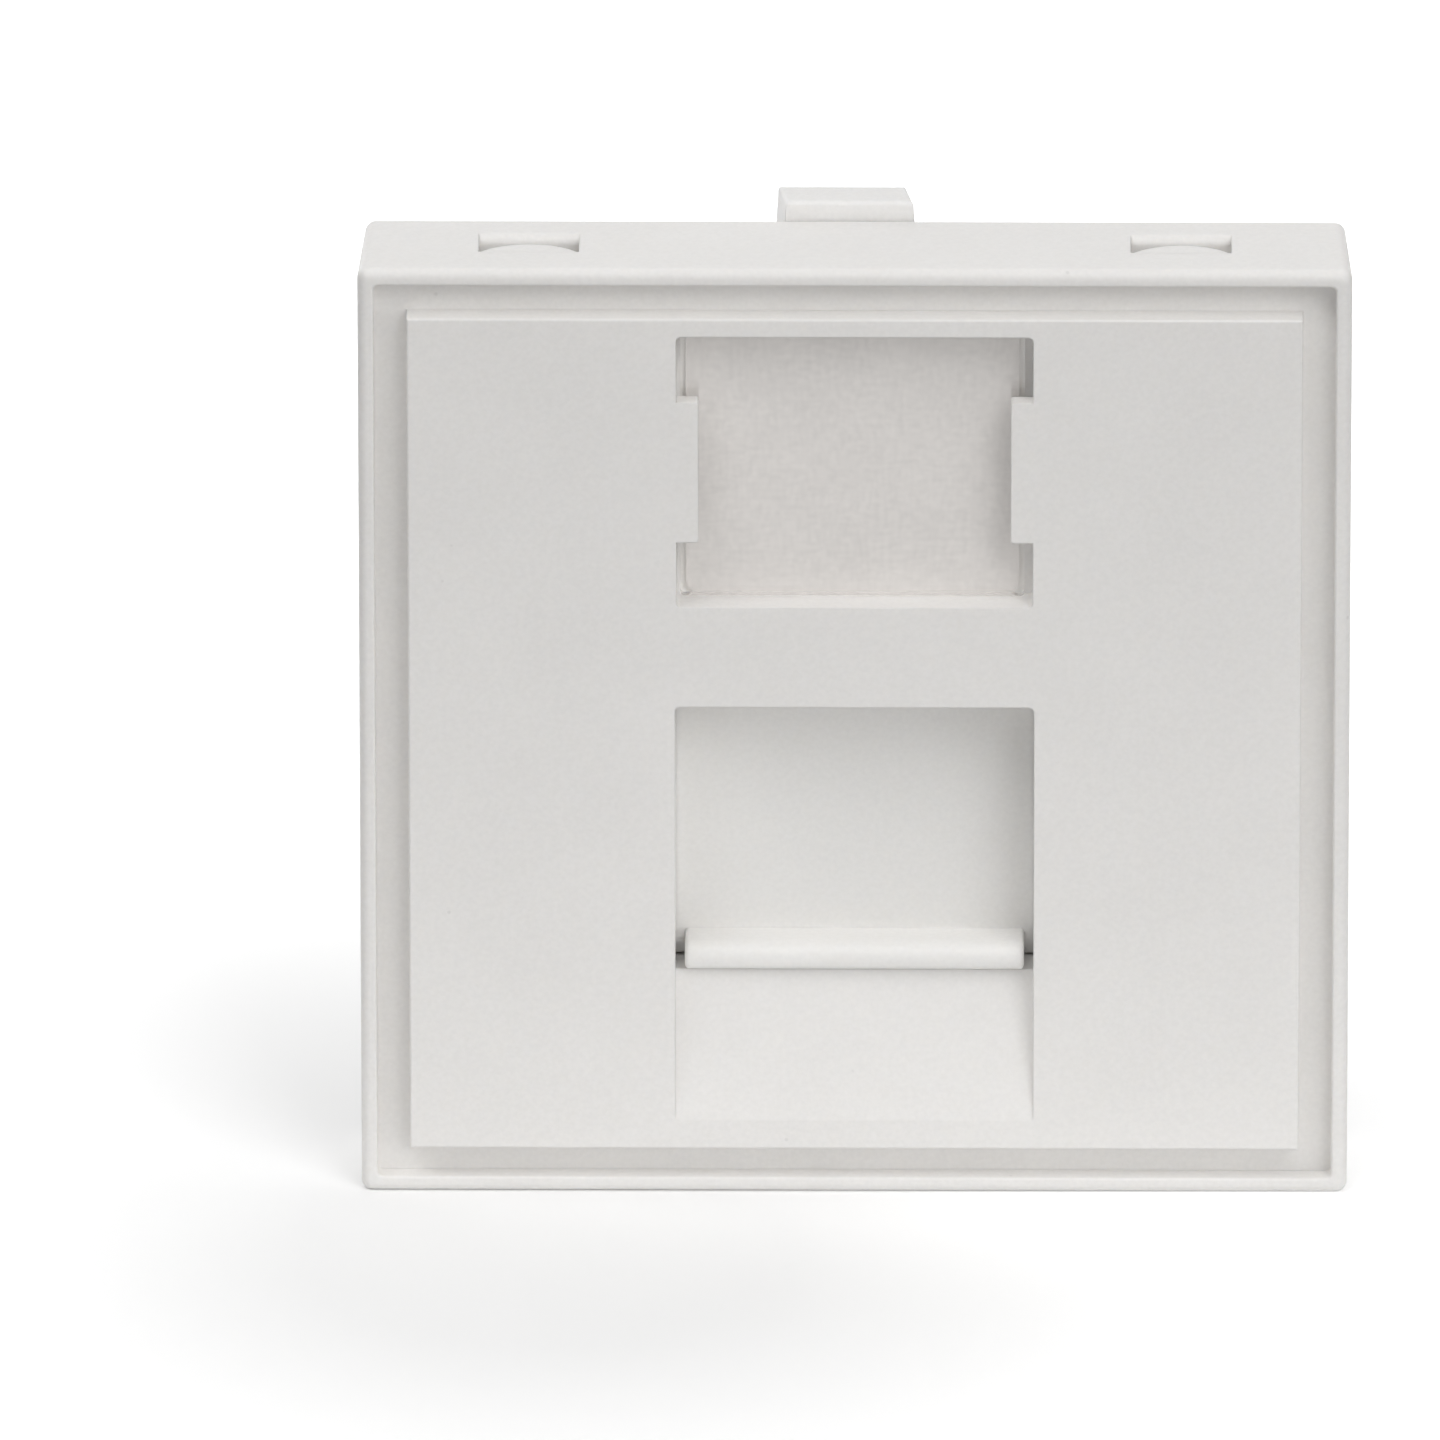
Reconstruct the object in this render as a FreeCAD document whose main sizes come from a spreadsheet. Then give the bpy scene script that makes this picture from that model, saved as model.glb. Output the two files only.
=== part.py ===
import FreeCAD, Part
import os
import Sketcher

# Single-port cover plate, 45 x 45 mm module.
# Frame: X to the right, Z up, Y from the front face towards the back.
# Depths are measured from the front of the rim. The body placement then moves
# the middle of the whole depth to Y = 0, and the lower edge stands on Z = 0.

doc = FreeCAD.newDocument("cover_plate")

# Driving sizes in millimetres
SIZES = [
    # Outer shell
    ("plate_width", 45.0),
    ("plate_height", 45.0),
    ("skirt_depth", 6.5),
    ("skirt_wall", 1.3),
    ("side_lean", 0.3),
    ("rim_width", 0.75),
    ("groove_depth", 1.0),
    ("web_wall", 1.2),
    ("corner_round", 0.5),
    ("front_round", 0.45),
    ("rear_round", 0.2),
    ("rim_inner_round", 0.12),
    # Raised panel
    ("panel_margin", 2.25),
    ("panel_proud", 0.2),
    ("panel_wall", 1.4),
    ("panel_edge_round", 0.1),
    # Label recess, window and card
    ("label_width", 16.15),
    ("label_height", 13.13),
    ("label_top_gap", 0.87),
    ("label_recess", 1.9),
    ("tray_wall", 0.9),
    ("opening_round", 0.25),
    ("tab_reach", 1.0),
    ("tab_height", 6.8),
    ("tab_thickness", 0.85),
    ("tab_round", 0.12),
    ("window_width", 15.6),
    ("window_thickness", 0.7),
    ("window_shift", -0.1),
    ("window_foot_gap", 0.25),
    ("window_head_gap", 0.1),
    ("window_tab_gap", 0.1),
    ("window_round", 0.2),
    ("card_width", 15.1),
    ("card_thickness", 0.2),
    ("card_edge_gap", 0.25),
    ("card_round", 0.5),
    # Port opening and finger ramp
    ("port_width", 16.3),
    ("port_bottom", 10.58),
    ("port_height", 13.32),
    ("port_frame", 0.9),
    ("ramp_foot", 3.65),
    ("ramp_depth", 1.3),
    ("ramp_wall", 1.3),
    ("ledge_depth", 2.5),
    # Dust shutter and its guides
    ("tray_gap", 0.25),
    ("slide_gap", 0.1),
    ("shutter_thickness", 1.0),
    ("shutter_width", 18.4),
    ("shutter_overlap", 1.2),
    ("shutter_foot_gap", 0.12),
    ("shutter_round", 0.6),
    ("bar_width", 15.45),
    ("bar_height", 1.2),
    ("bar_reach", 2.25),
    ("bar_top_round", 0.75),
    ("bar_foot_round", 0.3),
    ("bar_end_round", 0.22),
    ("bar_stop_gap", 0.2),
    ("guide_gap", 0.15),
    ("guide_wall", 1.2),
    ("guide_lead", 1.5),
    # Clips that hold the jack holder
    ("clip_wall", 1.0),
    ("clip_length", 4.0),
    ("clip_barb", 0.55),
    ("clip_barb_depth", 0.35),
    ("clip_gap", 0.1),
    ("clip_low", 11.5),
    ("clip_rise", 19.0),
    # Wall slots with their arched catch ribs
    ("slot_spacing", 29.5),
    ("slot_length", 4.55),
    ("slot_depth", 2.45),
    ("slot_opening", 1.95),
    ("slot_rear_round", 0.45),
    ("catch_length", 4.9),
    ("catch_reach", 1.36),
    ("catch_drop", 0.06),
    ("catch_height", 2.6),
    # Jack holder
    ("holder_width", 27.8),
    ("holder_bottom", 5.5),
    ("holder_wall", 1.4),
    ("holder_round", 1.0),
    ("jack_width", 14.9),
    ("jack_bottom", 8.9),
    ("jack_height", 16.4),
    ("cage_depth", 8.4),
    ("cage_wall", 1.5),
    ("latch_window_width", 8.4),
    ("latch_window_start", 2.6),
    ("latch_window_depth", 2.8),
    ("foot_slot_start", 1.4),
    ("foot_slot_depth", 2.4),
    ("cage_round", 0.5),
    # Snap finger of the jack holder
    ("finger_left", 3.34),
    ("finger_right", 2.83),
    ("finger_wall", 1.2),
    ("finger_gap", 1.1),
    ("lug_rise", 0.85),
    ("lug_depth", 2.05),
    ("lug_gap", 0.15),
    ("lug_skew", 0.35),
    ("lug_draft", 0.2),
    ("lug_round", 0.2),
]

sheet = doc.addObject("Spreadsheet::Sheet", "Sizes")
for row, (alias, number) in enumerate(SIZES, start=1):
    sheet.set("A%d" % row, alias)
    sheet.set("B%d" % row, str(number))
    sheet.setAlias("B%d" % row, alias)
doc.recompute()

# Depths from the rim plane, as expressions of the sheet
PANEL_FACE = "(0 - Sizes.panel_proud)"
PANEL_REAR = "(Sizes.panel_wall - Sizes.panel_proud)"
WEB_REAR = "(Sizes.groove_depth + Sizes.web_wall)"
TRAY_FLOOR = "(Sizes.label_recess - Sizes.panel_proud)"
TRAY_REAR = "(%s + Sizes.tray_wall)" % TRAY_FLOOR
SHUTTER_FRONT = "(%s + Sizes.tray_gap)" % TRAY_REAR
SHUTTER_REAR = "(%s + Sizes.shutter_thickness)" % SHUTTER_FRONT
FRAME_REAR = "(%s - Sizes.slide_gap)" % SHUTTER_FRONT
HOLDER_FRONT = "(%s + Sizes.slide_gap)" % SHUTTER_REAR
HOLDER_REAR = "(%s + Sizes.holder_wall)" % HOLDER_FRONT
CAGE_REAR = "(%s + Sizes.cage_depth)" % HOLDER_REAR
LEDGE_FRONT = "(Sizes.ramp_depth - Sizes.panel_proud)"
LEDGE_REAR = "(%s + Sizes.ledge_depth)" % LEDGE_FRONT
WINDOW_FRONT = "(Sizes.tab_thickness + Sizes.window_tab_gap - Sizes.panel_proud)"
CARD_FRONT = "(%s - Sizes.card_thickness)" % TRAY_FLOOR
LUG_FRONT = "(Sizes.skirt_depth + Sizes.lug_gap)"
LUG_REAR = "(%s + Sizes.lug_depth)" % LUG_FRONT
TAB_REAR = "(Sizes.tab_thickness - Sizes.panel_proud)"

# Heights above the lower edge
PANEL_TOP = "(Sizes.plate_height - Sizes.panel_margin)"
LABEL_TOP = "(%s - Sizes.label_top_gap)" % PANEL_TOP
LABEL_BOTTOM = "(%s - Sizes.label_height)" % LABEL_TOP
LABEL_MIDDLE = "(%s - Sizes.label_height / 2)" % LABEL_TOP
PORT_TOP = "(Sizes.port_bottom + Sizes.port_height)"
SHUTTER_BOTTOM = "(Sizes.port_bottom + Sizes.shutter_foot_gap)"
SHUTTER_TOP = "(%s + Sizes.shutter_overlap)" % PORT_TOP
BAR_TOP = "(%s + Sizes.bar_height)" % SHUTTER_BOTTOM
TRAVEL = "(%s - %s - Sizes.bar_stop_gap)" % (PORT_TOP, BAR_TOP)
GUIDE_TOP = "(%s + %s + Sizes.guide_lead)" % (SHUTTER_TOP, TRAVEL)
JACK_TOP = "(Sizes.jack_bottom + Sizes.jack_height)"
FINGER_TOP = "(Sizes.plate_height - Sizes.skirt_wall - Sizes.finger_gap)"
HOLDER_TOP = "(%s - Sizes.finger_wall)" % FINGER_TOP

# Half widths
HALF_PLATE = "(Sizes.plate_width / 2)"
HALF_PANEL = "(Sizes.plate_width / 2 - Sizes.panel_margin)"
HALF_PORT = "(Sizes.port_width / 2)"
HALF_FRAME = "(Sizes.port_width / 2 + Sizes.port_frame)"
HALF_LABEL = "(Sizes.label_width / 2)"
HALF_SHUTTER = "(Sizes.shutter_width / 2)"
GUIDE_INNER = "(Sizes.shutter_width / 2 + Sizes.guide_gap)"
GUIDE_OUTER = "(%s + Sizes.guide_wall)" % GUIDE_INNER
HALF_HOLDER = "(Sizes.holder_width / 2)"
HALF_JACK = "(Sizes.jack_width / 2)"
NOTCH_EDGE = "(Sizes.holder_width / 2 - Sizes.clip_barb - Sizes.clip_gap)"
CLIP_INNER = "(%s + Sizes.clip_gap)" % NOTCH_EDGE


def size(alias):
    """A driving size as a number."""
    return float(sheet.get(alias))


def negative(expression):
    return "(0 - %s)" % expression


def new_body(label):
    """A body whose placement centres the whole depth on Y = 0."""
    body = doc.addObject("PartDesign::Body", label)
    body.Label = label
    middle = "-(%s - Sizes.panel_proud) / 2" % CAGE_REAR
    body.setExpression("Placement.Base.y", middle)
    return body


def new_sketch(body, name, role, offset):
    """A sketch on one of the body's own origin planes, moved along its normal."""
    sketch = body.newObject("Sketcher::SketchObject", name)
    for plane in body.Origin.OriginFeatures:
        if plane.Role == role:
            sketch.AttachmentSupport = [(plane, "")]
    sketch.MapMode = "FlatFace"
    sketch.setExpression("AttachmentOffset.Base.z", offset)
    return sketch


def front_sketch(body, name, depth):
    """A sketch seen from the front, at a depth behind the rim plane."""
    return new_sketch(body, name, "XZ_Plane", negative(depth))


def plan_sketch(body, name, height):
    """A sketch seen from above, at a height above the lower edge."""
    return new_sketch(body, name, "XY_Plane", height)


def side_sketch(body, name, across):
    """A sketch of depth and height, at a distance to the right of the middle."""
    return new_sketch(body, name, "YZ_Plane", across)


def bind(sketch, constraint, name, expression):
    """Adds a size constraint, names it and ties it to the sheet."""
    index = sketch.addConstraint(constraint)
    sketch.renameConstraint(index, name)
    sketch.setExpression("Constraints." + name, expression)


def outline(sketch, corners, first_guess=1.0):
    """A closed outline of straight sides through corners given as expressions."""
    first = sketch.GeometryCount
    count = len(corners)
    circle = Part.Circle(FreeCAD.Vector(0, 0, 0), FreeCAD.Vector(0, 0, 1), first_guess)
    spots = [circle.value(-2.4 + 6.2832 * turn / count) for turn in range(count)]
    for turn in range(count):
        sketch.addGeometry(Part.LineSegment(spots[turn], spots[(turn + 1) % count]), False)
    for turn in range(count):
        following = first + (turn + 1) % count
        sketch.addConstraint(Sketcher.Constraint("Coincident", first + turn, 2, following, 1))
    for turn, (across, along) in enumerate(corners):
        line = first + turn
        mark = "c%d" % line
        bind(sketch, Sketcher.Constraint("DistanceX", -1, 1, line, 1, spots[turn].x), mark + "x", across)
        bind(sketch, Sketcher.Constraint("DistanceY", -1, 1, line, 1, spots[turn].y), mark + "y", along)


def rectangle(sketch, left, right, bottom, top):
    outline(sketch, [(left, bottom), (right, bottom), (right, top), (left, top)])


def pair_of_rectangles(sketch, inner, outer, bottom, top):
    """The same rectangle on the right and on the left of the middle."""
    rectangle(sketch, inner, outer, bottom, top)
    rectangle(sketch, negative(outer), negative(inner), bottom, top)


def extrude(body, kind, name, sketch, length, reverse=False, middle=False):
    """A Pad or a Pocket of a sketch. A pad must add and a pocket must remove."""
    before = volume_of(body)
    feature = body.newObject("PartDesign::" + kind, name)
    feature.Profile = sketch
    feature.setExpression("Length", length)
    feature.Reversed = reverse
    feature.Midplane = middle
    doc.recompute()
    change = feature.Shape.Volume - before
    if (kind == "Pad") != (change > 0) or abs(change) < 0.001:
        raise RuntimeError("%s changed the volume by %.4f" % (name, change))
    return feature


def volume_of(body):
    if body.Tip is None or body.Shape.isNull():
        return 0.0
    return body.Shape.Volume


def round_edges(body, name, test, radius):
    """A fillet of the edges of the tip that pass the test."""
    tip = body.Tip
    names = ["Edge%d" % (number + 1) for number, edge in enumerate(tip.Shape.Edges) if test(edge)]
    if not names:
        raise RuntimeError("no edges for " + name)
    fillet = body.newObject("PartDesign::Fillet", name)
    fillet.Base = (tip, names)
    fillet.setExpression("Radius", radius)
    doc.recompute()
    return fillet


def near(first, second):
    return abs(first - second) < 0.01


def inside_box(edge, low, high):
    """True where the whole edge lies in the box between two corners."""
    box = edge.BoundBox
    slack = 0.01
    return (
        box.XMin > low[0] - slack and box.XMax < high[0] + slack
        and box.YMin > low[1] - slack and box.YMax < high[1] + slack
        and box.ZMin > low[2] - slack and box.ZMax < high[2] + slack
    )


def runs_along_depth(edge, half_width, heights):
    """True for a straight edge along Y at plus or minus a half width and at one of the heights."""
    box = edge.BoundBox
    if box.XLength > 0.01 or box.ZLength > 0.01:
        return False
    return near(abs(box.XMin), half_width) and any(near(box.ZMin, height) for height in heights)


# Front plate: skirt, rim, groove and raised panel in one moulding
def front_plate_shell(body):
    sketch = plan_sketch(body, "shell_plan", "0")
    rear = "(%s - Sizes.side_lean)" % HALF_PLATE
    corners = [
        (negative(HALF_PLATE), "0"),
        (HALF_PLATE, "0"),
        (rear, "Sizes.skirt_depth"),
        (negative(rear), "Sizes.skirt_depth"),
    ]
    outline(sketch, corners)
    extrude(body, "Pad", "shell", sketch, "Sizes.plate_height")

    height = size("plate_height")
    depth = size("skirt_depth")

    def is_corner(edge):
        box = edge.BoundBox
        flat = box.ZLength < 0.01 and near(box.YLength, depth)
        return flat and (near(box.ZMin, 0) or near(box.ZMin, height))

    round_edges(body, "shell_corners", is_corner, "Sizes.corner_round")

    def is_front(edge):
        return near(edge.BoundBox.YMax, 0)

    round_edges(body, "shell_front_edge", is_front, "Sizes.front_round")

    def is_rear(edge):
        return near(edge.BoundBox.YMin, depth)

    round_edges(body, "shell_rear_edge", is_rear, "Sizes.rear_round")


def front_plate_groove(body):
    inner = "(%s - Sizes.rim_width)" % HALF_PLATE
    sketch = front_sketch(body, "groove_outline", "0")
    rectangle(sketch, negative(inner), inner, "Sizes.rim_width", "Sizes.plate_height - Sizes.rim_width")
    extrude(body, "Pocket", "groove", sketch, "Sizes.groove_depth")

    half = size("plate_width") / 2 - size("rim_width")
    heights = [size("rim_width"), size("plate_height") - size("rim_width")]

    def is_groove_corner(edge):
        return runs_along_depth(edge, half, heights)

    round_edges(body, "groove_corners", is_groove_corner, "Sizes.opening_round")

    def is_rim_inside(edge):
        low = (-half, 0, heights[0])
        high = (half, 0, heights[1])
        return inside_box(edge, low, high)

    round_edges(body, "rim_inside_edge", is_rim_inside, "Sizes.rim_inner_round")


def front_plate_panel(body):
    sketch = front_sketch(body, "panel_outline", "Sizes.groove_depth")
    rectangle(sketch, negative(HALF_PANEL), HALF_PANEL, "Sizes.panel_margin", PANEL_TOP)
    extrude(body, "Pad", "panel", sketch, "Sizes.groove_depth + Sizes.panel_proud")

    def is_panel_edge(edge):
        return near(edge.BoundBox.YMax, -size("panel_proud"))

    round_edges(body, "panel_edge", is_panel_edge, "Sizes.panel_edge_round")


def front_plate_hollow(body):
    """The back is hollow, and the panel is cored to an even wall."""
    inner = "(%s - Sizes.skirt_wall)" % HALF_PLATE
    sketch = front_sketch(body, "hollow_outline", "Sizes.skirt_depth")
    top = "Sizes.plate_height - Sizes.skirt_wall"
    rectangle(sketch, negative(inner), inner, "Sizes.skirt_wall", top)
    depth = "Sizes.skirt_depth - %s" % WEB_REAR
    extrude(body, "Pocket", "hollow", sketch, depth, reverse=True)

    inner = "(%s - Sizes.web_wall)" % HALF_PANEL
    sketch = front_sketch(body, "core_outline", WEB_REAR)
    low = "Sizes.panel_margin + Sizes.web_wall"
    high = "%s - Sizes.web_wall" % PANEL_TOP
    rectangle(sketch, negative(inner), inner, low, high)
    depth = "%s - %s" % (WEB_REAR, PANEL_REAR)
    extrude(body, "Pocket", "core", sketch, depth, reverse=True)


def front_plate_port(body):
    """The port opening with its frame, the ledge below it and the finger ramp."""
    sketch = front_sketch(body, "frame_outline", FRAME_REAR)
    low = "Sizes.port_bottom"
    high = "%s + Sizes.port_frame" % PORT_TOP
    rectangle(sketch, negative(HALF_FRAME), HALF_FRAME, low, high)
    extrude(body, "Pad", "port_frame", sketch, "%s - %s" % (FRAME_REAR, PANEL_REAR))

    sketch = side_sketch(body, "ramp_profile", "0")
    corners = [
        (PANEL_FACE, "Sizes.ramp_foot"),
        (LEDGE_FRONT, "Sizes.port_bottom"),
        (LEDGE_REAR, "Sizes.port_bottom"),
        ("%s + Sizes.ramp_wall" % PANEL_FACE, "Sizes.ramp_foot"),
    ]
    outline(sketch, corners)
    extrude(body, "Pad", "ramp_wall", sketch, "2 * %s" % HALF_FRAME, middle=True)

    sketch = side_sketch(body, "ramp_recess_profile", "0")
    corners = [
        (PANEL_FACE, "Sizes.ramp_foot"),
        (LEDGE_FRONT, "Sizes.port_bottom"),
        (PANEL_FACE, "Sizes.port_bottom"),
    ]
    outline(sketch, corners)
    extrude(body, "Pocket", "ramp_recess", sketch, "Sizes.port_width", middle=True)

    sketch = front_sketch(body, "port_outline", PANEL_FACE)
    rectangle(sketch, negative(HALF_PORT), HALF_PORT, "Sizes.port_bottom", PORT_TOP)
    extrude(body, "Pocket", "port", sketch, "%s + Sizes.panel_proud" % FRAME_REAR)

    half = size("port_width") / 2
    top = size("port_bottom") + size("port_height")

    def is_port_corner(edge):
        return runs_along_depth(edge, half, [top])

    round_edges(body, "port_corners", is_port_corner, "Sizes.opening_round")


def front_plate_label_tray(body):
    """The tray for the label card and its window, with a tab on each side."""
    sketch = front_sketch(body, "tray_outline", TRAY_REAR)
    half = "(%s + Sizes.tray_wall)" % HALF_LABEL
    low = "%s - Sizes.tray_wall" % LABEL_BOTTOM
    high = "%s + Sizes.tray_wall" % LABEL_TOP
    rectangle(sketch, negative(half), half, low, high)
    extrude(body, "Pad", "tray", sketch, "%s - %s" % (TRAY_REAR, PANEL_REAR))

    sketch = front_sketch(body, "label_outline", PANEL_FACE)
    rectangle(sketch, negative(HALF_LABEL), HALF_LABEL, LABEL_BOTTOM, LABEL_TOP)
    extrude(body, "Pocket", "label_recess", sketch, "Sizes.label_recess")

    half = size("label_width") / 2
    top = size("plate_height") - size("panel_margin") - size("label_top_gap")
    heights = [top, top - size("label_height")]

    def is_label_corner(edge):
        return runs_along_depth(edge, half, heights)

    round_edges(body, "label_corners", is_label_corner, "Sizes.opening_round")

    sketch = front_sketch(body, "tab_outlines", TAB_REAR)
    inner = "(%s - Sizes.tab_reach)" % HALF_LABEL
    outer = HALF_LABEL
    low = "%s - Sizes.tab_height / 2" % LABEL_MIDDLE
    high = "%s + Sizes.tab_height / 2" % LABEL_MIDDLE
    pair_of_rectangles(sketch, inner, outer, low, high)
    extrude(body, "Pad", "tabs", sketch, "Sizes.tab_thickness")

    half = size("label_width") / 2 - size("tab_reach")
    middle = top - size("label_height") / 2
    heights = [middle - size("tab_height") / 2, middle + size("tab_height") / 2]

    def is_tab_corner(edge):
        return runs_along_depth(edge, half, heights)

    round_edges(body, "tab_corners", is_tab_corner, "Sizes.tab_round")


def front_plate_guides(body):
    """Two guides beside the shutter. The jack holder is seated on them."""
    sketch = front_sketch(body, "guide_outlines", HOLDER_FRONT)
    low = "Sizes.port_bottom - Sizes.guide_lead"
    pair_of_rectangles(sketch, GUIDE_INNER, GUIDE_OUTER, low, GUIDE_TOP)
    extrude(body, "Pad", "guides", sketch, "%s - %s" % (HOLDER_FRONT, PANEL_REAR))


def front_plate_clips(body):
    """Two barbed clips on each side, which hold the jack holder by its notches."""
    outer = "(%s + Sizes.clip_wall)" % CLIP_INNER
    barb = "(%s - Sizes.clip_barb)" % CLIP_INNER
    catch = "(%s + Sizes.clip_gap)" % HOLDER_REAR
    nose = "(%s + Sizes.clip_barb_depth)" % catch
    end = "(%s + Sizes.clip_barb)" % nose
    profile = [
        (CLIP_INNER, PANEL_REAR),
        (outer, PANEL_REAR),
        (outer, end),
        (CLIP_INNER, end),
        (barb, nose),
        (barb, catch),
        (CLIP_INNER, catch),
    ]
    mirrored = [(negative(across), depth) for across, depth in profile]
    for name, rise in (("low_clips", "0"), ("high_clips", "Sizes.clip_rise")):
        height = "Sizes.clip_low + %s" % rise
        sketch = plan_sketch(body, name + "_profile", height)
        outline(sketch, profile)
        outline(sketch, mirrored)
        extrude(body, "Pad", name, sketch, "Sizes.clip_length")


def arched_outline(sketch, centre, chord_depth):
    """A chord along X and an arc that bulges towards the back."""
    first = sketch.GeometryCount
    half = size("catch_length") / 2
    reach = size("catch_reach")
    radius = (half * half + reach * reach) / (2 * reach)
    side = 1 if centre == "right" else -1
    middle = side * size("slot_spacing") / 2
    depth = size("groove_depth") + size("web_wall")
    left = FreeCAD.Vector(middle - half, depth, 0)
    right = FreeCAD.Vector(middle + half, depth, 0)
    apex = FreeCAD.Vector(middle, depth + reach, 0)
    sketch.addGeometry(Part.LineSegment(left, right), False)
    sketch.addGeometry(Part.Arc(right, apex, left), False)
    sketch.addConstraint(Sketcher.Constraint("Coincident", first, 2, first + 1, 1))
    sketch.addConstraint(Sketcher.Constraint("Coincident", first + 1, 2, first, 1))
    sign = "" if side > 0 else "0 - "
    middle_text = "(%sSizes.slot_spacing / 2)" % sign
    ends = [
        (1, "start", "%s - Sizes.catch_length / 2" % middle_text, left),
        (2, "finish", "%s + Sizes.catch_length / 2" % middle_text, right),
    ]
    for end, word, across, spot in ends:
        name = "%s_%s" % (centre, word)
        bind(sketch, Sketcher.Constraint("DistanceX", -1, 1, first, end, spot.x), name + "_x", across)
        bind(sketch, Sketcher.Constraint("DistanceY", -1, 1, first, end, spot.y), name + "_y", chord_depth)
    rule = "(Sizes.catch_length ^ 2 / 4 + Sizes.catch_reach ^ 2) / (2 * Sizes.catch_reach)"
    bind(sketch, Sketcher.Constraint("Radius", first + 1, radius), centre + "_radius", rule)


def front_plate_wall_slots(body):
    """Slots in the upper and lower wall, each with an arched rib that a mounting frame catches."""
    near_edge = "(Sizes.slot_spacing / 2 - Sizes.slot_length / 2)"
    far_edge = "(Sizes.slot_spacing / 2 + Sizes.slot_length / 2)"
    rear = "Sizes.slot_depth + Sizes.slot_opening"
    for name, height, turned in (("upper", "Sizes.plate_height", False), ("lower", "0", True)):
        sketch = plan_sketch(body, name + "_slot_outlines", height)
        pair_of_rectangles(sketch, near_edge, far_edge, "Sizes.slot_depth", rear)
        extrude(body, "Pocket", name + "_slots", sketch, "Sizes.skirt_wall", reverse=turned)
        slot_rear = max(vertex.Y for vertex in sketch.Shape.Vertexes)
        outside = 0 if turned else size("plate_height")

        def is_slot_rear(edge):
            box = edge.BoundBox
            along = near(box.YMin, slot_rear) and near(box.YMax, slot_rear)
            return along and near(box.ZMin, outside) and near(box.ZMax, outside)

        round_edges(body, name + "_slot_rear_edges", is_slot_rear, "Sizes.slot_rear_round")
        if turned:
            level = "Sizes.catch_drop"
        else:
            level = "Sizes.plate_height - Sizes.catch_drop"
        sketch = plan_sketch(body, name + "_catch_outlines", level)
        arched_outline(sketch, "right", WEB_REAR)
        arched_outline(sketch, "left", WEB_REAR)
        extrude(body, "Pad", name + "_catches", sketch, "Sizes.catch_height", reverse=not turned)


def make_front_plate():
    body = new_body("front_plate")
    front_plate_shell(body)
    front_plate_groove(body)
    front_plate_panel(body)
    front_plate_hollow(body)
    front_plate_port(body)
    front_plate_label_tray(body)
    front_plate_guides(body)
    front_plate_clips(body)
    front_plate_wall_slots(body)
    return body


# Label window: clear sheet held behind the two tabs
def make_label_window():
    body = new_body("label_window")
    sketch = front_sketch(body, "window_outline", WINDOW_FRONT)
    left = "(Sizes.window_shift - Sizes.window_width / 2)"
    right = "(Sizes.window_shift + Sizes.window_width / 2)"
    low = "%s + Sizes.window_foot_gap" % LABEL_BOTTOM
    high = "%s - Sizes.window_head_gap" % LABEL_TOP
    rectangle(sketch, left, right, low, high)
    extrude(body, "Pad", "window", sketch, "Sizes.window_thickness", reverse=True)
    thickness = size("window_thickness")

    def is_window_corner(edge):
        return near(edge.BoundBox.YLength, thickness)

    round_edges(body, "window_corners", is_window_corner, "Sizes.window_round")
    return body


# Label card: blank card between the window and the tray floor
def make_label_card():
    body = new_body("label_card")
    sketch = front_sketch(body, "card_outline", CARD_FRONT)
    left = "(Sizes.window_shift - Sizes.card_width / 2)"
    right = "(Sizes.window_shift + Sizes.card_width / 2)"
    low = "%s + Sizes.card_edge_gap" % LABEL_BOTTOM
    high = "%s - Sizes.card_edge_gap" % LABEL_TOP
    rectangle(sketch, left, right, low, high)
    extrude(body, "Pad", "card", sketch, "Sizes.card_thickness", reverse=True)
    thickness = size("card_thickness")

    def is_card_corner(edge):
        return near(edge.BoundBox.YLength, thickness)

    round_edges(body, "card_corners", is_card_corner, "Sizes.card_round")
    return body


# Dust shutter: thin slide with a grip bar along its lower edge
def make_dust_shutter():
    body = new_body("dust_shutter")
    sketch = front_sketch(body, "slide_outline", SHUTTER_FRONT)
    rectangle(sketch, negative(HALF_SHUTTER), HALF_SHUTTER, SHUTTER_BOTTOM, SHUTTER_TOP)
    extrude(body, "Pad", "slide", sketch, "Sizes.shutter_thickness", reverse=True)
    thickness = size("shutter_thickness")

    def is_slide_corner(edge):
        return near(edge.BoundBox.YLength, thickness)

    round_edges(body, "slide_corners", is_slide_corner, "Sizes.shutter_round")

    sketch = front_sketch(body, "bar_outline", SHUTTER_FRONT)
    half = "(Sizes.bar_width / 2)"
    rectangle(sketch, negative(half), half, SHUTTER_BOTTOM, BAR_TOP)
    extrude(body, "Pad", "grip_bar", sketch, "Sizes.bar_reach")
    half = size("bar_width") / 2
    slide_front = min(vertex.Y for vertex in sketch.Shape.Vertexes)
    bar_front = slide_front - size("bar_reach")
    foot = size("port_bottom") + size("shutter_foot_gap")
    top = foot + size("bar_height")

    def is_front_line(edge, height):
        box = edge.BoundBox
        return near(box.YMax, bar_front) and near(box.ZMin, height) and near(box.ZMax, height)

    def is_bar_top(edge):
        return is_front_line(edge, top)

    round_edges(body, "bar_top_edge", is_bar_top, "Sizes.bar_top_round")

    def is_bar_foot(edge):
        return is_front_line(edge, foot)

    round_edges(body, "bar_foot_edge", is_bar_foot, "Sizes.bar_foot_round")

    def is_bar_end(edge):
        box = edge.BoundBox
        on_end = near(abs(box.XMin), half) and box.XLength < 0.01
        return on_end and box.YMin < slide_front - 0.01

    round_edges(body, "bar_end_edges", is_bar_end, "Sizes.bar_end_round")
    return body


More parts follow.
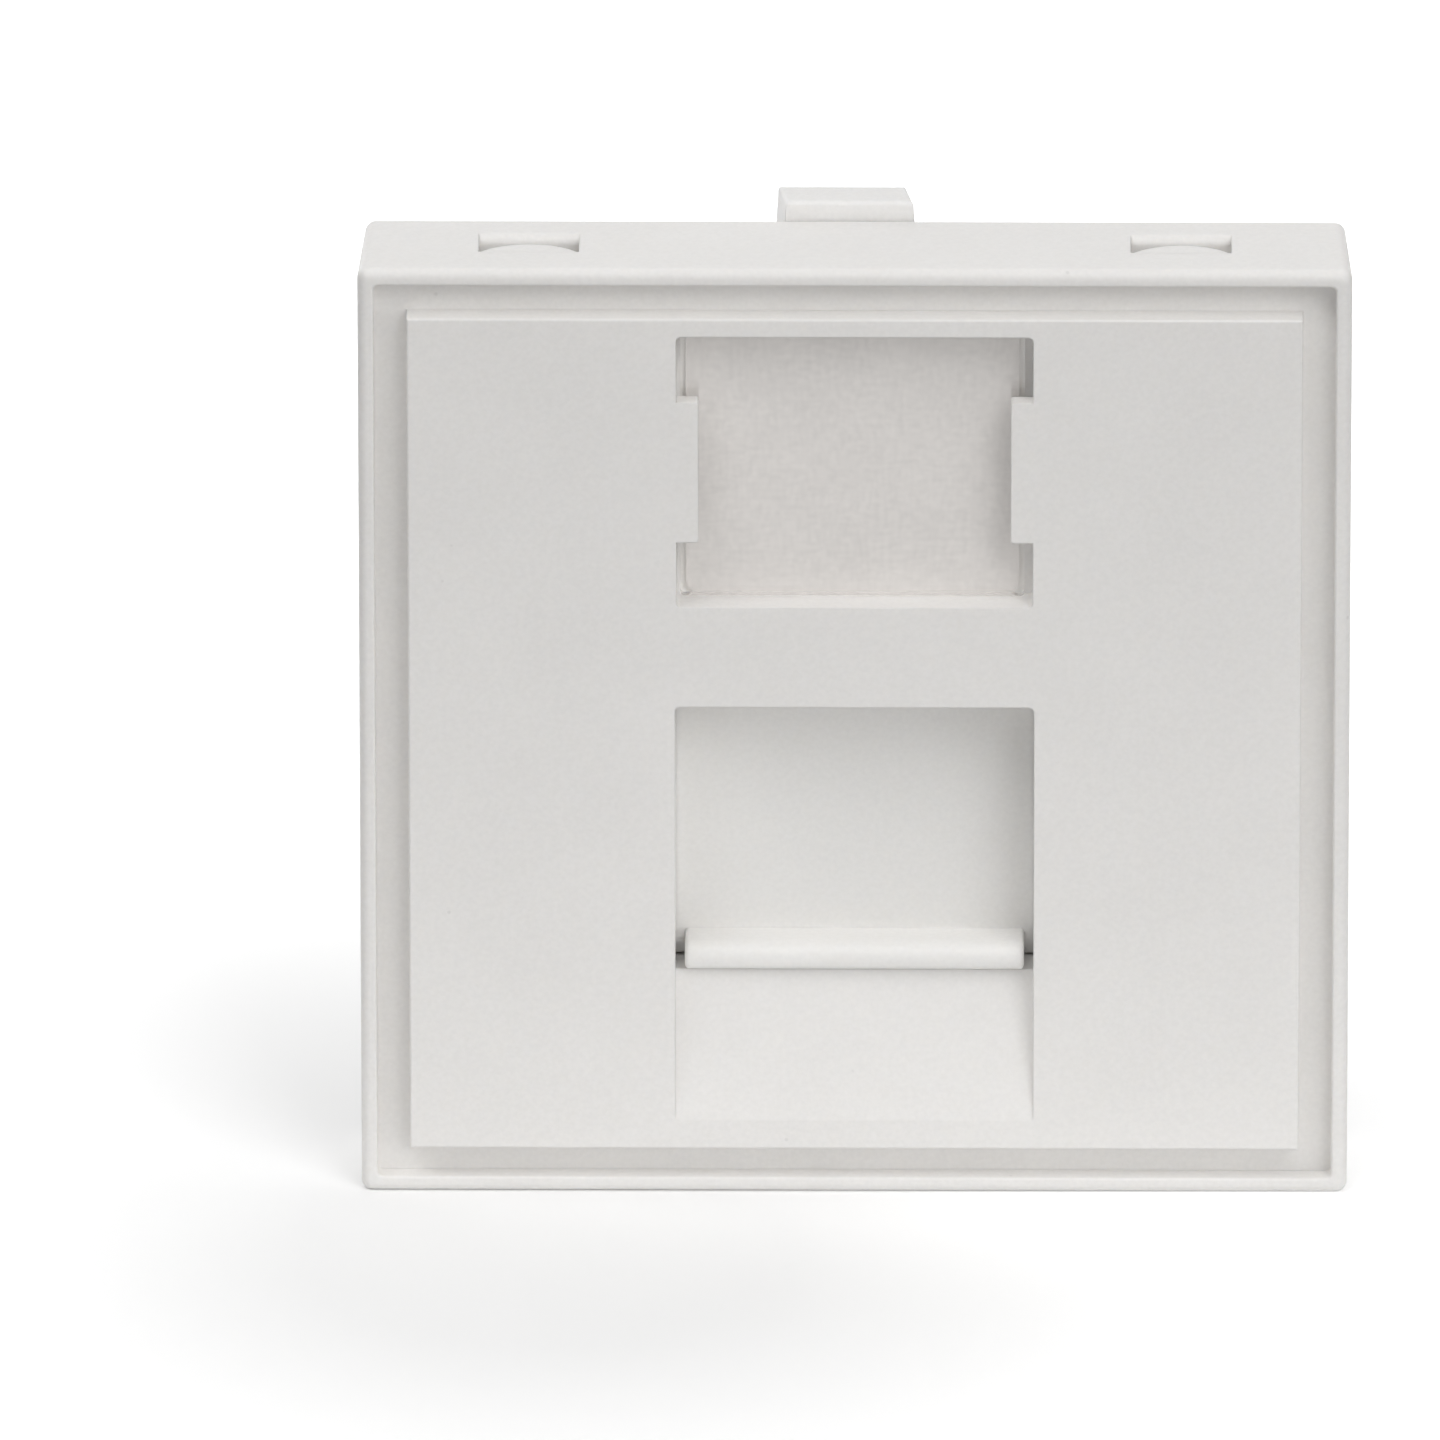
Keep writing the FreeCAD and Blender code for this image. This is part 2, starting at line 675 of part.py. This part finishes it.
# Jack holder: back frame that traps the shutter and takes the jack from behind
def jack_holder_frame(body):
    sketch = front_sketch(body, "holder_outline", HOLDER_FRONT)
    rectangle(sketch, negative(HALF_HOLDER), HALF_HOLDER, "Sizes.holder_bottom", HOLDER_TOP)
    extrude(body, "Pad", "holder_frame", sketch, "Sizes.holder_wall", reverse=True)
    wall = size("holder_wall")

    def is_frame_corner(edge):
        return near(edge.BoundBox.YLength, wall)

    round_edges(body, "holder_corners", is_frame_corner, "Sizes.holder_round")

    sketch = front_sketch(body, "notch_outlines", HOLDER_FRONT)
    for rise in ("0", "Sizes.clip_rise"):
        low = "Sizes.clip_low + %s - Sizes.clip_gap" % rise
        high = "Sizes.clip_low + %s + Sizes.clip_length + Sizes.clip_gap" % rise
        pair_of_rectangles(sketch, NOTCH_EDGE, "(%s + Sizes.clip_wall)" % HALF_HOLDER, low, high)
    extrude(body, "Pocket", "clip_notches", sketch, "Sizes.holder_wall")


def jack_holder_cage(body):
    sketch = front_sketch(body, "cage_outline", HOLDER_REAR)
    half = "(%s + Sizes.cage_wall)" % HALF_JACK
    low = "Sizes.jack_bottom - Sizes.cage_wall"
    high = "%s + Sizes.cage_wall" % JACK_TOP
    rectangle(sketch, negative(half), half, low, high)
    extrude(body, "Pad", "cage", sketch, "Sizes.cage_depth", reverse=True)
    depth = size("cage_depth")

    def is_cage_corner(edge):
        return near(edge.BoundBox.YLength, depth)

    round_edges(body, "cage_corners", is_cage_corner, "Sizes.cage_round")

    sketch = front_sketch(body, "jack_outline", HOLDER_FRONT)
    rectangle(sketch, negative(HALF_JACK), HALF_JACK, "Sizes.jack_bottom", JACK_TOP)
    extrude(body, "Pocket", "jack_opening", sketch, "Sizes.holder_wall + Sizes.cage_depth")

    half = "(Sizes.latch_window_width / 2)"
    sketch = plan_sketch(body, "latch_window_outline", JACK_TOP)
    start = "(%s + Sizes.latch_window_start)" % HOLDER_REAR
    rectangle(sketch, negative(half), half, start, "%s + Sizes.latch_window_depth" % start)
    extrude(body, "Pocket", "latch_window", sketch, "Sizes.cage_wall", reverse=True)

    sketch = plan_sketch(body, "foot_slot_outline", "Sizes.jack_bottom")
    start = "(%s + Sizes.foot_slot_start)" % HOLDER_REAR
    rectangle(sketch, negative(half), half, start, "%s + Sizes.foot_slot_depth" % start)
    extrude(body, "Pocket", "foot_slot", sketch, "Sizes.cage_wall")


def jack_holder_finger(body):
    """The springy finger with the lug that rises behind the upper wall."""
    sketch = plan_sketch(body, "finger_plan", HOLDER_TOP)
    left = "(0 - Sizes.finger_left)"
    rectangle(sketch, left, "Sizes.finger_right", HOLDER_FRONT, LUG_REAR)
    extrude(body, "Pad", "finger", sketch, "Sizes.finger_wall")

    foot = plan_sketch(body, "lug_foot", FINGER_TOP)
    lug_plan(foot, "0")
    head = plan_sketch(body, "lug_head", "Sizes.plate_height + Sizes.lug_rise")
    lug_plan(head, "Sizes.lug_draft")
    loft = body.newObject("PartDesign::AdditiveLoft", "lug")
    loft.Profile = foot
    loft.Sections = [head]
    loft.Ruled = True
    doc.recompute()
    top = size("plate_height") + size("lug_rise")

    def is_lug_top(edge):
        return near(edge.BoundBox.ZMin, top)

    round_edges(body, "lug_edges", is_lug_top, "Sizes.lug_round")


def lug_plan(sketch, inset):
    left = "0 - Sizes.finger_left + %s" % inset
    right = "Sizes.finger_right - %s" % inset
    corners = [
        (left, LUG_FRONT),
        (right, LUG_FRONT),
        ("%s - Sizes.lug_skew" % right, LUG_REAR),
        ("%s - Sizes.lug_skew" % left, LUG_REAR),
    ]
    outline(sketch, corners)


def make_jack_holder():
    body = new_body("jack_holder")
    jack_holder_frame(body)
    jack_holder_cage(body)
    jack_holder_finger(body)
    return body


bodies = [
    make_front_plate(),
    make_label_window(),
    make_label_card(),
    make_dust_shutter(),
    make_jack_holder(),
]
doc.recompute()

for item in doc.Objects:
    if "Invalid" in item.State or "Error" in item.State:
        raise RuntimeError("%s failed: %s" % (item.Label, item.State))
for body in bodies:
    if body.Shape.isNull() or not body.Shape.isValid() or len(body.Shape.Solids) != 1:
        raise RuntimeError("%s is not one valid solid" % body.Label)

os.makedirs("parts", exist_ok=True)
for body in bodies:
    body.Shape.exportStep("parts/%s.step" % body.Label)
    box = body.Shape.BoundBox
    print("%-14s %9.2f mm3  x %.2f..%.2f  y %.2f..%.2f  z %.2f..%.2f" % (
        body.Label, body.Shape.Volume, box.XMin, box.XMax, box.YMin, box.YMax, box.ZMin, box.ZMax))
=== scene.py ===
import math

import bpy
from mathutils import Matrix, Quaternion, Vector


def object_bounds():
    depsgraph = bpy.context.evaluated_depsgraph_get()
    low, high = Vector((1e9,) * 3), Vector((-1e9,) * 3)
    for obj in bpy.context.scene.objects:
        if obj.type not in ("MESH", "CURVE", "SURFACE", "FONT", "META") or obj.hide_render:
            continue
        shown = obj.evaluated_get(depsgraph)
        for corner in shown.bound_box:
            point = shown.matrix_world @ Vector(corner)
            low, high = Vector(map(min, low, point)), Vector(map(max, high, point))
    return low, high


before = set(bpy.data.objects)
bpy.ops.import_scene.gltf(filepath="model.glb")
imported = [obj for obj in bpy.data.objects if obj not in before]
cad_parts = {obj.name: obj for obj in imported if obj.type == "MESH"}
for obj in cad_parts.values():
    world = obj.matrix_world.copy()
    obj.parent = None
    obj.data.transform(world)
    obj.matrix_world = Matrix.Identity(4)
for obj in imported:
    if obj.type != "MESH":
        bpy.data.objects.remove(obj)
cad_low, cad_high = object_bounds()

MM = 0.001

# Camera: distance, direction and lens that give the photograph's view of the plate
CAMERA_DISTANCE = 1500 * MM
CAMERA_AZIMUTH = 0.507
CAMERA_ELEVATION = 21.687
CAMERA_ROLL = -0.06
CAMERA_LENS = 826.4
SENSOR_WIDTH = 36.0
CLIP_NEAR = 0.1
CLIP_FAR = 20.0
AIM_ACROSS = -6.10 * MM
AIM_UP = 23.21 * MM
AIM_BEHIND_FRONT = 0.2 * MM

# Light: name, azimuth, elevation, distance in metres, width, height, power
WORLD_STRENGTH = 0.04
SOFTBOXES = [
    ("back", 170, 55, 1.2, 0.9, 0.9, 2.7),
    ("key_high", 30, 50, 1.2, 0.6, 0.6, 2.5),
    ("key", 30, 30, 1.2, 0.6, 0.6, 3.1),
    ("left_high", -50, 60, 1.2, 0.8, 0.8, 6.1),
    ("left_low", -30, 8, 1.2, 0.8, 0.3, 0.9),
    ("right_low", 60, 8, 1.0, 0.6, 0.3, 1.45),
    ("back_low", 222, 20, 1.2, 0.8, 0.8, 2.5),
]

# Floor: what it throws back near the plate and away from it, and how it looks when seen
FLOOR_HALF = 6.0
FLOOR_NEAR = 35 * MM
FLOOR_FAR = 80 * MM
FLOOR_NEAR_WHITE = 0.9
FLOOR_FAR_WHITE = 0.15
FLOOR_SEEN_WHITE = 0.93
FLOOR_ROUGHNESS = 0.6
FLOOR_GLOSS = 0.2

# Shadow: it is deepest round this spot; away from it a glow seen only by the camera, gloss and
# clear plastic paints the floor lighter, up to plain white
SHADOW_MIDDLE = (-14 * MM, -14 * MM, 0)
SHADOW_NEAR = 11 * MM
SHADOW_FAR = 96 * MM
SHADOW_LIFT = 0.10

# Plastic and card colours, linear, and the plastics' roughness
PLATE_WHITE = (0.885, 0.87, 0.85)
SHUTTER_WHITE = (0.88, 0.87, 0.85)
HOLDER_WHITE = (0.89, 0.88, 0.865)
CARD_GREY = (0.78, 0.75, 0.732)
PLATE_ROUGHNESS = 0.42
SHUTTER_ROUGHNESS = 0.38
HOLDER_ROUGHNESS = 0.42

# Moulded plastic: sizes of its clouding, grain, sheen, waves and specks
CLOUD_SIZE = 6 * MM
GRAIN_SIZE = 0.22 * MM
SHEEN_SIZE = 1.2 * MM
WAVE_SIZE = 3 * MM
SPECK_SPACING = 2.6 * MM
SPECK_RADIUS = 0.11 * MM
SPECK_CORE = 0.5
SPECK_THRESHOLD = 0.55

# Moulded plastic: how far that shifts its colour, roughness and surface
CLOUD_WEIGHT = 0.35
GRAIN_WEIGHT = 0.65
PLASTIC_DEEP = 0.965
PLASTIC_PALE = 1.03
# Painted highlight: outer and inner edges are drawn this much lighter than the plastic
EDGE_HIGHLIGHT_PALE = 1.04
SPECK_WEIGHT = 0.5
SPECK_DARK = 0.8
SHEEN_BELOW = 0.04
SHEEN_ABOVE = 0.05
EDGE_GLOSS = 0.1
WAVE_STRENGTH = 0.12
WAVE_HEIGHT = 0.02 * MM
GRAIN_STRENGTH = 0.35
GRAIN_HEIGHT = 0.012 * MM
PLASTIC_IOR = 1.5
INNER_LIGHT = 0.12
INNER_TINT = (1.0, 0.9, 0.75)
INNER_DEPTH = 0.6 * MM

# Edges: radius of the shading rounding, and the cosines between which a face counts as edge for the
# painted highlight and the lower roughness
EDGE_RADIUS = 0.12 * MM
EDGE_SAMPLES = 4
EDGE_FULL = 0.75
EDGE_NONE = 0.99

# Clear window
HAZE_SIZE = 2.5 * MM
HAZE_LOW = 0.02
HAZE_HIGH = 0.10
CLEAR_TINT = (0.97, 0.965, 0.95)
CLEAR_IOR = 1.49
CLEAR_GLOSS = 0.25

# Card: size and stretch of its fibres, and how far they and the clouding shift its colour
CARD_CLOUD_SIZE = 3 * MM
CARD_CLOUD_WEIGHT = 0.3
FIBRE_WIDTH = 0.22 * MM
FIBRE_STRETCH = 3
FIBRE_WEIGHT = 0.7
FIBRE_LOW = 0.35
FIBRE_HIGH = 0.65
FIBRE_STRENGTH = 0.3
FIBRE_HEIGHT = 0.01 * MM
CARD_DEEP = 0.91
CARD_PALE = 1.08
CARD_SMOOTH = 0.75
CARD_ROUGH = 0.9


def direction(azimuth, elevation):
    """Unit vector from the object towards an azimuth and an elevation in degrees."""
    turn = math.radians(azimuth)
    rise = math.radians(elevation)
    return Vector((
        math.sin(turn) * math.cos(rise),
        -math.cos(turn) * math.cos(rise),
        math.sin(rise),
    ))


def add_camera():
    data = bpy.data.cameras.new("camera")
    camera = bpy.data.objects.new("camera", data)
    bpy.context.scene.collection.objects.link(camera)
    aim = Vector((AIM_ACROSS, cad_low.y + AIM_BEHIND_FRONT, AIM_UP))
    back = direction(CAMERA_AZIMUTH, CAMERA_ELEVATION)
    camera.location = aim + back * CAMERA_DISTANCE
    roll = Quaternion((0, 0, 1), math.radians(CAMERA_ROLL))
    camera.rotation_mode = "QUATERNION"
    camera.rotation_quaternion = (-back).to_track_quat("-Z", "Y") @ roll
    data.lens = CAMERA_LENS
    data.sensor_width = SENSOR_WIDTH
    data.clip_start = CLIP_NEAR
    data.clip_end = CLIP_FAR
    bpy.context.scene.camera = camera


def add_softbox(name, azimuth, elevation, distance, width, height, power, target):
    data = bpy.data.lights.new(name, "AREA")
    data.shape = "RECTANGLE"
    data.size = width
    data.size_y = height
    data.energy = power
    light = bpy.data.objects.new(name, data)
    bpy.context.scene.collection.objects.link(light)
    towards = direction(azimuth, elevation)
    light.location = target + towards * distance
    light.rotation_mode = "QUATERNION"
    light.rotation_quaternion = (-towards).to_track_quat("-Z", "Y")
    light.visible_camera = False


def seen_directly(tree):
    """One for rays of the camera, of gloss and through clear plastic, and zero for other light."""
    path = tree.nodes.new("ShaderNodeLightPath")
    seen = path.outputs["Is Camera Ray"]
    for ray in ("Is Glossy Ray", "Is Transmission Ray"):
        larger = tree.nodes.new("ShaderNodeMath")
        larger.operation = "MAXIMUM"
        tree.links.new(seen, larger.inputs[0])
        tree.links.new(path.outputs[ray], larger.inputs[1])
        seen = larger.outputs["Value"]
    return seen


def by_reach(tree, place, middle, reaches, values):
    """A value that goes from one number to another with the distance from a spot on the floor."""
    reach = tree.nodes.new("ShaderNodeVectorMath")
    reach.operation = "DISTANCE"
    reach.inputs[1].default_value = middle
    tree.links.new(place, reach.inputs[0])
    mapping = tree.nodes.new("ShaderNodeMapRange")
    mapping.inputs["From Min"].default_value = reaches[0]
    mapping.inputs["From Max"].default_value = reaches[1]
    mapping.inputs["To Min"].default_value = values[0]
    mapping.inputs["To Max"].default_value = values[1]
    tree.links.new(reach.outputs["Value"], mapping.inputs["Value"])
    return mapping.outputs["Result"]


def add_world():
    """Even soft light. The camera, gloss and clear plastic see plain white."""
    world = bpy.data.worlds.new("studio")
    bpy.context.scene.world = world
    world.use_nodes = True
    tree = world.node_tree
    background = tree.nodes["Background"]
    background.inputs["Color"].default_value = (1, 1, 1, 1)
    strength = tree.nodes.new("ShaderNodeMapRange")
    strength.inputs["To Min"].default_value = WORLD_STRENGTH
    strength.inputs["To Max"].default_value = 1.0
    tree.links.new(seen_directly(tree), strength.inputs["Value"])
    tree.links.new(strength.outputs["Result"], background.inputs["Strength"])


def floor_material():
    """White floor with the plate's soft shadow, which a glow seen by the camera, gloss and clear
    plastic paints lighter away from one spot. Away from the plate it throws little light back.
    """
    material = bpy.data.materials.new("floor_white")
    material.use_nodes = True
    tree = material.node_tree
    shader = tree.nodes["Principled BSDF"]
    shader.inputs["Roughness"].default_value = FLOOR_ROUGHNESS
    shader.inputs["Specular IOR Level"].default_value = FLOOR_GLOSS
    place = tree.nodes.new("ShaderNodeTexCoord").outputs["Object"]
    seen = seen_directly(tree)

    reaches = (FLOOR_NEAR, FLOOR_FAR)
    bounce = by_reach(tree, place, (0, 0, 0), reaches, (FLOOR_NEAR_WHITE, FLOOR_FAR_WHITE))
    tone = tree.nodes.new("ShaderNodeMix")
    tree.links.new(seen, tone.inputs["Factor"])
    tree.links.new(bounce, tone.inputs["A"])
    tone.inputs["B"].default_value = FLOOR_SEEN_WHITE
    tree.links.new(tone.outputs["Result"], shader.inputs["Base Color"])

    # Painted light: a glow for camera, gloss and clear-plastic rays lightens the floor's shadow
    # with the distance from one spot
    lift = by_reach(tree, place, SHADOW_MIDDLE, (SHADOW_NEAR, SHADOW_FAR), (SHADOW_LIFT, 1.0))
    strength = tree.nodes.new("ShaderNodeMath")
    strength.operation = "MULTIPLY"
    tree.links.new(seen, strength.inputs[0])
    tree.links.new(lift, strength.inputs[1])
    glow = tree.nodes.new("ShaderNodeEmission")
    tree.links.new(strength.outputs["Value"], glow.inputs["Strength"])
    both = tree.nodes.new("ShaderNodeAddShader")
    tree.links.new(shader.outputs["BSDF"], both.inputs[0])
    tree.links.new(glow.outputs["Emission"], both.inputs[1])
    tree.links.new(both.outputs["Shader"], tree.nodes["Material Output"].inputs["Surface"])
    return material


def add_floor():
    half = FLOOR_HALF
    corners = [(-half, -half, 0), (half, -half, 0), (half, half, 0), (-half, half, 0)]
    mesh = bpy.data.meshes.new("floor")
    mesh.from_pydata(corners, [], [(0, 1, 2, 3)])
    floor = bpy.data.objects.new("floor", mesh)
    bpy.context.scene.collection.objects.link(floor)
    mesh.materials.append(floor_material())


def socket_of(sockets, name, kind):
    """The socket with a name and a type, because a mix node has several of each name."""
    return next(socket for socket in sockets if socket.name == name and socket.type == kind)


def shade(colour, factor):
    return tuple(channel * factor for channel in colour)


class Recipe:
    """A material being built from nodes, with object coordinates ready."""

    def __init__(self, name):
        self.material = bpy.data.materials.new(name)
        self.material.use_nodes = True
        self.tree = self.material.node_tree
        self.shader = self.tree.nodes["Principled BSDF"]
        self.place = self.tree.nodes.new("ShaderNodeTexCoord").outputs["Object"]

    def node(self, kind):
        return self.tree.nodes.new(kind)

    def link(self, source, target):
        self.tree.links.new(source, target)

    def set(self, name, value):
        """One value that is the same all over the surface."""
        self.shader.inputs[name].default_value = value

    def feed(self, name, value):
        """One value that changes over the surface."""
        self.link(value, self.shader.inputs[name])

    def noise(self, size, detail=2.0, stretch=(1, 1, 1)):
        """Noise whose features are about a given size in metres, drawn out along the axes."""
        place = self.place
        if stretch != (1, 1, 1):
            drawn = self.node("ShaderNodeVectorMath")
            drawn.operation = "DIVIDE"
            self.link(place, drawn.inputs[0])
            drawn.inputs[1].default_value = stretch
            place = drawn.outputs["Vector"]
        texture = self.node("ShaderNodeTexNoise")
        texture.inputs["Scale"].default_value = 1 / size
        texture.inputs["Detail"].default_value = detail
        self.link(place, texture.inputs["Vector"])
        return texture.outputs["Fac"]

    def math(self, operation, first, second):
        """One sum of two values, each of them a socket or a number."""
        node = self.node("ShaderNodeMath")
        node.operation = operation
        for socket, value in zip(node.inputs, (first, second)):
            if isinstance(value, (int, float)):
                socket.default_value = value
            else:
                self.link(value, socket)
        return node.outputs["Value"]

    def specks(self, spacing, radius):
        """One at the middle of some cells of a given spacing, and zero away from them."""
        cells = self.node("ShaderNodeTexVoronoi")
        cells.inputs["Scale"].default_value = 1 / spacing
        self.link(self.place, cells.inputs["Vector"])
        reach = radius / spacing
        dot = self.spread(cells.outputs["Distance"], 1, 0, SPECK_CORE * reach, reach)
        pick = self.node("ShaderNodeSeparateColor")
        self.link(cells.outputs["Color"], pick.inputs["Color"])
        chosen = self.math("GREATER_THAN", pick.outputs["Red"], SPECK_THRESHOLD)
        return self.math("MULTIPLY", dot, chosen)

    def edges(self, radius):
        """The rounded normal, and a value of one along outer and inner edges and zero on flats."""
        bevel = self.node("ShaderNodeBevel")
        bevel.samples = EDGE_SAMPLES
        bevel.inputs["Radius"].default_value = radius
        shape = self.node("ShaderNodeNewGeometry")
        turn = self.node("ShaderNodeVectorMath")
        turn.operation = "DOT_PRODUCT"
        self.link(bevel.outputs["Normal"], turn.inputs[0])
        self.link(shape.outputs["Normal"], turn.inputs[1])
        edge_highlight_and_gloss = self.spread(turn.outputs["Value"], 1, 0, EDGE_FULL, EDGE_NONE)
        return bevel.outputs["Normal"], edge_highlight_and_gloss

    def spread(self, value, low, high, start=0.3, end=0.7):
        """Maps the middle stretch of a value to a range."""
        mapping = self.node("ShaderNodeMapRange")
        mapping.inputs["From Min"].default_value = start
        mapping.inputs["From Max"].default_value = end
        mapping.inputs["To Min"].default_value = low
        mapping.inputs["To Max"].default_value = high
        self.link(value, mapping.inputs["Value"])
        return mapping.outputs["Result"]

    def between(self, value, first, second):
        """A colour between two colours, each of them a socket or three numbers."""
        mix = self.node("ShaderNodeMix")
        mix.data_type = "RGBA"
        for name, colour in (("A", first), ("B", second)):
            socket = socket_of(mix.inputs, name, "RGBA")
            if isinstance(colour, tuple):
                socket.default_value = (*colour, 1)
            else:
                self.link(colour, socket)
        self.link(value, socket_of(mix.inputs, "Factor", "VALUE"))
        return socket_of(mix.outputs, "Result", "RGBA")

    def bump(self, height, strength, distance, normal=None):
        relief = self.node("ShaderNodeBump")
        relief.inputs["Strength"].default_value = strength
        relief.inputs["Distance"].default_value = distance
        self.link(height, relief.inputs["Height"])
        if normal is not None:
            self.link(normal, relief.inputs["Normal"])
        return relief.outputs["Normal"]


def moulded_plastic(name, colour, roughness):
    """Satin moulded plastic: faint clouding, fine grain, a few specks, and outer and inner edges
    with a painted highlight and lower roughness.
    """
    recipe = Recipe(name)
    rounded, edge_highlight_and_gloss = recipe.edges(EDGE_RADIUS)

    clouds = recipe.spread(recipe.noise(CLOUD_SIZE, 3), 0, CLOUD_WEIGHT)
    grain = recipe.noise(GRAIN_SIZE, 3)
    fleck = recipe.spread(grain, 0, GRAIN_WEIGHT)
    mottle = recipe.math("ADD", clouds, fleck)
    base = recipe.between(mottle, shade(colour, PLASTIC_DEEP), shade(colour, PLASTIC_PALE))
    # Painted highlight: outer and inner edges are drawn lighter than the plastic
    base_with_edge_highlight = recipe.between(edge_highlight_and_gloss, base, shade(colour, EDGE_HIGHLIGHT_PALE))
    dark = recipe.math("MULTIPLY", recipe.specks(SPECK_SPACING, SPECK_RADIUS), SPECK_WEIGHT)
    recipe.feed("Base Color", recipe.between(dark, base_with_edge_highlight, shade(colour, SPECK_DARK)))

    patches = recipe.noise(SHEEN_SIZE, 3)
    sheen = recipe.spread(patches, roughness - SHEEN_BELOW, roughness + SHEEN_ABOVE)
    polish = recipe.math("MULTIPLY", edge_highlight_and_gloss, EDGE_GLOSS)
    recipe.feed("Roughness", recipe.math("SUBTRACT", sheen, polish))

    waves = recipe.bump(recipe.noise(WAVE_SIZE, 2), WAVE_STRENGTH, WAVE_HEIGHT, rounded)
    recipe.feed("Normal", recipe.bump(grain, GRAIN_STRENGTH, GRAIN_HEIGHT, waves))

    recipe.set("IOR", PLASTIC_IOR)
    recipe.set("Subsurface Weight", INNER_LIGHT)
    recipe.set("Subsurface Radius", INNER_TINT)
    recipe.set("Subsurface Scale", INNER_DEPTH)
    return recipe.material


def clear_plastic():
    """Clear window sheet with faint haze from handling."""
    recipe = Recipe("clear_sheet")
    recipe.feed("Roughness", recipe.spread(recipe.noise(HAZE_SIZE, 4), HAZE_LOW, HAZE_HIGH))
    recipe.set("Base Color", (*CLEAR_TINT, 1))
    recipe.set("Transmission Weight", 1.0)
    recipe.set("IOR", CLEAR_IOR)
    recipe.set("Specular IOR Level", CLEAR_GLOSS)
    return recipe.material


def grey_card():
    """Uncoated card: soft clouding, and short fibres that lie both across and up."""
    recipe = Recipe("label_card_grey")
    clouds = recipe.spread(recipe.noise(CARD_CLOUD_SIZE, 4), 0, CARD_CLOUD_WEIGHT)
    across = recipe.noise(FIBRE_WIDTH, 2, (FIBRE_STRETCH, 1, 1))
    upward = recipe.noise(FIBRE_WIDTH, 2, (1, 1, FIBRE_STRETCH))
    fibres = recipe.math("MULTIPLY", recipe.math("ADD", across, upward), 0.5)
    strands = recipe.spread(fibres, 0, FIBRE_WEIGHT, FIBRE_LOW, FIBRE_HIGH)
    weave = recipe.math("ADD", clouds, strands)
    tone = recipe.between(weave, shade(CARD_GREY, CARD_DEEP), shade(CARD_GREY, CARD_PALE))
    recipe.feed("Base Color", tone)
    recipe.feed("Roughness", recipe.spread(fibres, CARD_SMOOTH, CARD_ROUGH))
    recipe.feed("Normal", recipe.bump(fibres, FIBRE_STRENGTH, FIBRE_HEIGHT))
    return recipe.material


def dress(node, material):
    """Gives a CAD node its finished material in every slot."""
    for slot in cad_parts[node].material_slots:
        slot.material = material


add_camera()
add_world()
add_floor()
middle = (cad_low + cad_high) / 2
for lamp in SOFTBOXES:
    add_softbox(*lamp, middle)

dress("front_plate", moulded_plastic("plate_white", PLATE_WHITE, PLATE_ROUGHNESS))
dress("dust_shutter", moulded_plastic("shutter_white", SHUTTER_WHITE, SHUTTER_ROUGHNESS))
dress("jack_holder", moulded_plastic("holder_white", HOLDER_WHITE, HOLDER_ROUGHNESS))
dress("label_window", clear_plastic())
dress("label_card", grey_card())

# The clear window keeps no light from the card behind it
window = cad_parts["label_window"]
window.visible_shadow = False
window.visible_diffuse = False

bpy.context.scene.view_settings.view_transform = "Standard"
